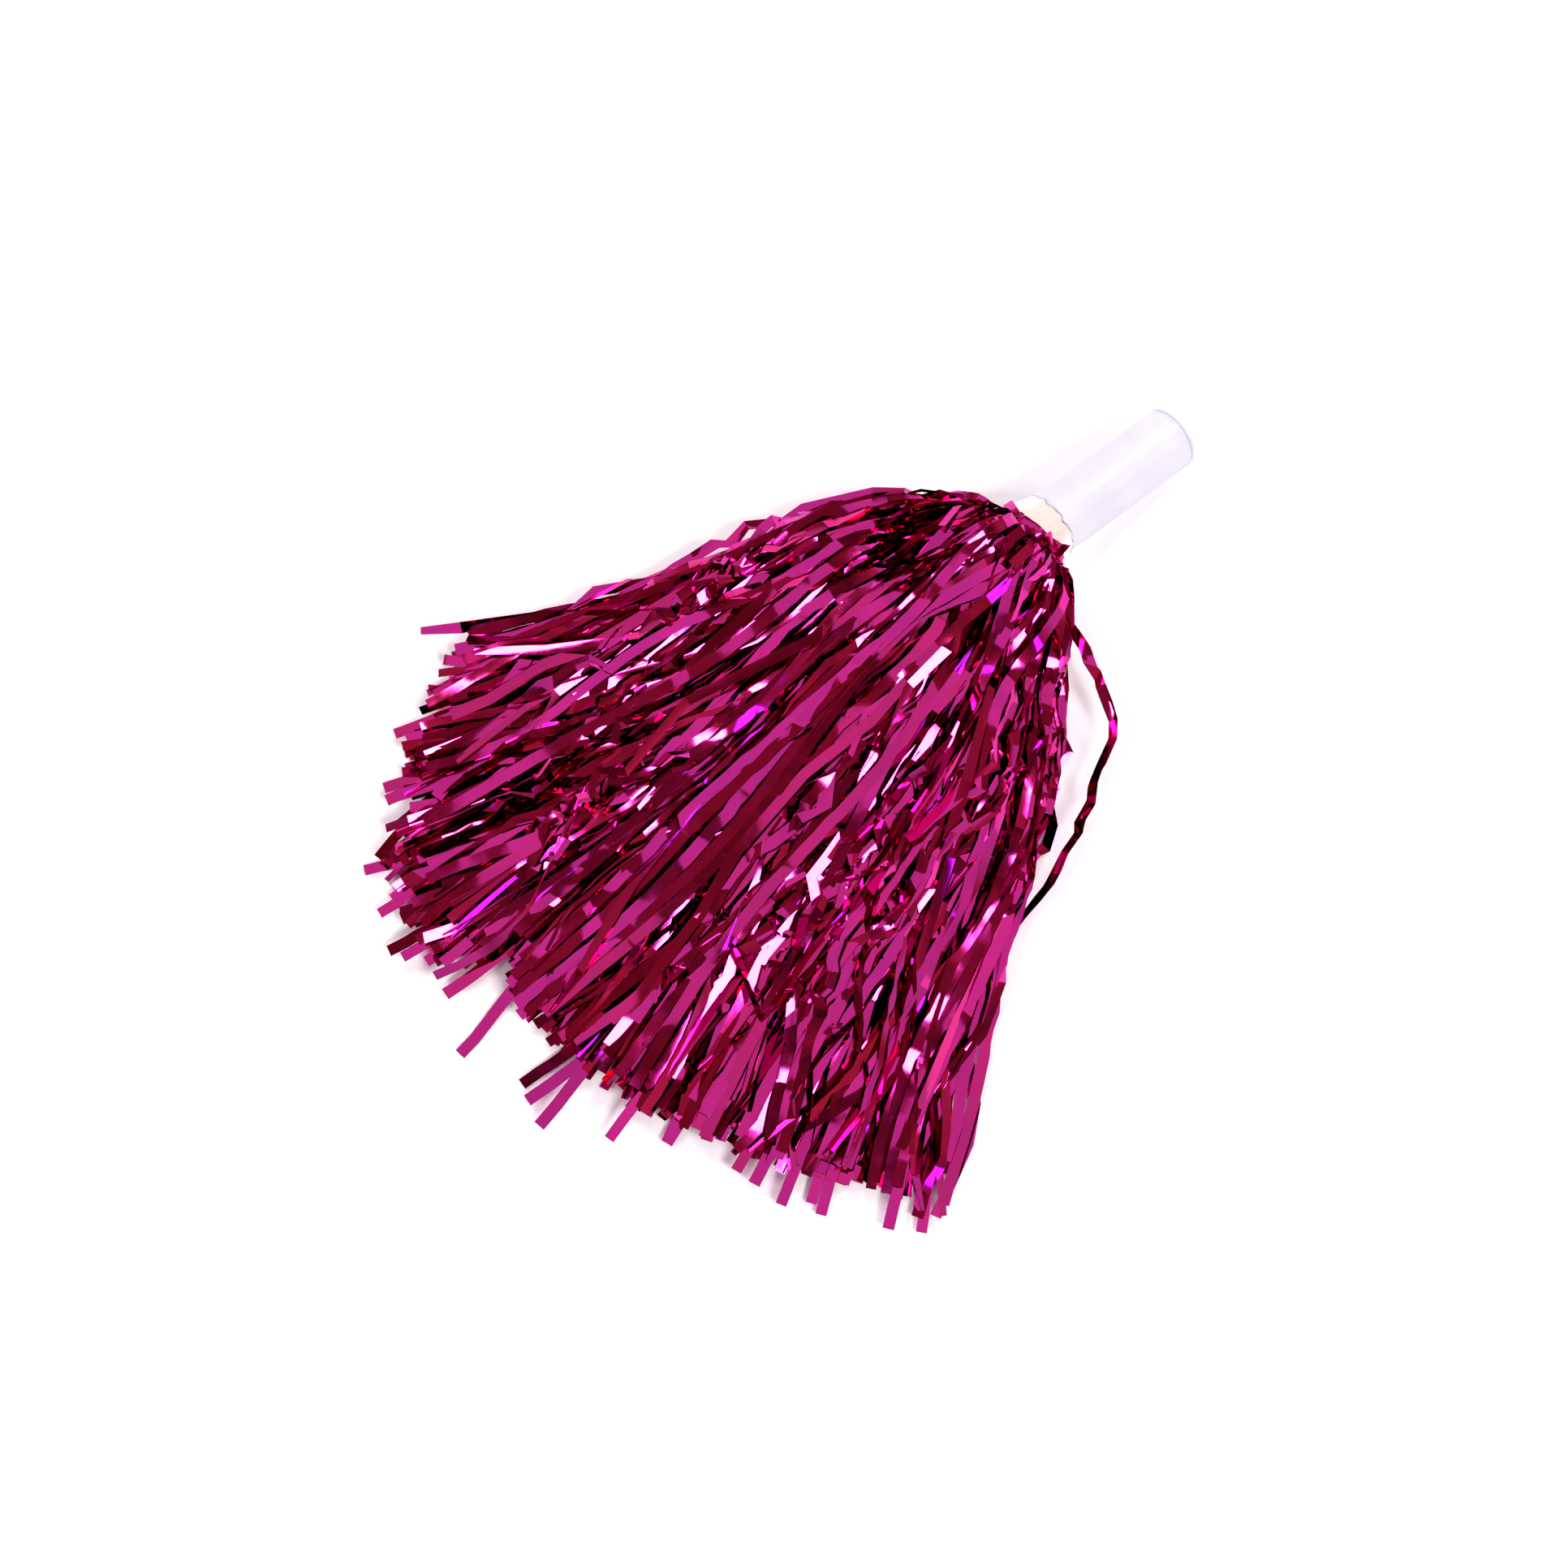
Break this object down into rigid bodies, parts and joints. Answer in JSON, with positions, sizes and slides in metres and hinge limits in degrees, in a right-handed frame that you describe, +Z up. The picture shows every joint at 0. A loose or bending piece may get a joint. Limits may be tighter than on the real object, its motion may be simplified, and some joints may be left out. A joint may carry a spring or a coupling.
{
  "type": "cheer pom pom",
  "caption": "Cheer pom pom: magenta foil streamers wound and taped round the end of a hollow translucent plastic handle, lying spread in a fan.",
  "frame": {"origin": "middle of the whole object's footprint, on the table that it lies on", "axes": "+X along the handle's length in plan, towards its closed end; +Z up from the table; the streamers spread towards -X"},
  "size_m": [0.3588, 0.2928, 0.062],
  "materials": {
    "handle_plastic": "satin",
    "cap_plastic": "satin",
    "clear_tape": "gloss",
    "foil": "gloss"
  },
  "bodies": {
    "handle": {"handle_tube": "handle_plastic", "handle_end_cap": "cap_plastic", "header_sheet_1": "foil", "header_sheet_2": "foil", "header_sheet_3": "foil", "winding_tape": "clear_tape", "collar_tape": "clear_tape", "neck_foil": "foil"},
    "tuft_1": {"streamer_tuft_1": "foil"},
    "tuft_2": {"streamer_tuft_2": "foil"},
    "tuft_3": {"streamer_tuft_3": "foil"},
    "tuft_4": {"streamer_tuft_4": "foil"},
    "tuft_5": {"streamer_tuft_5": "foil"},
    "tuft_6": {"streamer_tuft_6": "foil"},
    "tuft_7": {"streamer_tuft_7": "foil"},
    "tuft_8": {"streamer_tuft_8": "foil"},
    "tuft_9": {"streamer_tuft_9": "foil", "stray_streamer": "foil"}
  },
  "joints": [
    {"name": "tuft_1_swing", "type": "hinge", "parent": "handle", "child": "tuft_1", "pos_m": [0.1026, 0.02384, 0.02824], "axis": [0.4664, 0.8846, 0], "range_deg": [-40, 70], "deforming": ["streamer_tuft_1"]},
    {"name": "tuft_2_swing", "type": "hinge", "parent": "handle", "child": "tuft_2", "pos_m": [0.1026, 0.02384, 0.02824], "axis": [0.3355, 0.9421, 0], "range_deg": [-40, 70], "deforming": ["streamer_tuft_2"]},
    {"name": "tuft_3_swing", "type": "hinge", "parent": "handle", "child": "tuft_3", "pos_m": [0.1026, 0.02384, 0.02824], "axis": [0.1977, 0.9803, 0], "range_deg": [-40, 70], "deforming": ["streamer_tuft_3"]},
    {"name": "tuft_4_swing", "type": "hinge", "parent": "handle", "child": "tuft_4", "pos_m": [0.1026, 0.02384, 0.02824], "axis": [0.0558, 0.9984, 0], "range_deg": [-40, 70], "deforming": ["streamer_tuft_4"]},
    {"name": "tuft_5_swing", "type": "hinge", "parent": "handle", "child": "tuft_5", "pos_m": [0.1026, 0.02384, 0.02824], "axis": [-0.0872, 0.9962, 0], "range_deg": [-40, 70], "deforming": ["streamer_tuft_5"]},
    {"name": "tuft_6_swing", "type": "hinge", "parent": "handle", "child": "tuft_6", "pos_m": [0.1026, 0.02384, 0.02824], "axis": [-0.2284, 0.9736, 0], "range_deg": [-40, 70], "deforming": ["streamer_tuft_6"]},
    {"name": "tuft_7_swing", "type": "hinge", "parent": "handle", "child": "tuft_7", "pos_m": [0.1026, 0.02384, 0.02824], "axis": [-0.3649, 0.9311, 0], "range_deg": [-40, 70], "deforming": ["streamer_tuft_7"]},
    {"name": "tuft_8_swing", "type": "hinge", "parent": "handle", "child": "tuft_8", "pos_m": [0.1026, 0.02384, 0.02824], "axis": [-0.4939, 0.8695, 0], "range_deg": [-40, 70], "deforming": ["streamer_tuft_8"]},
    {"name": "tuft_9_swing", "type": "hinge", "parent": "handle", "child": "tuft_9", "pos_m": [0.1026, 0.02384, 0.02824], "axis": [-0.6129, 0.7902, 0], "range_deg": [-40, 70], "deforming": ["streamer_tuft_9", "stray_streamer"]}
  ]
}
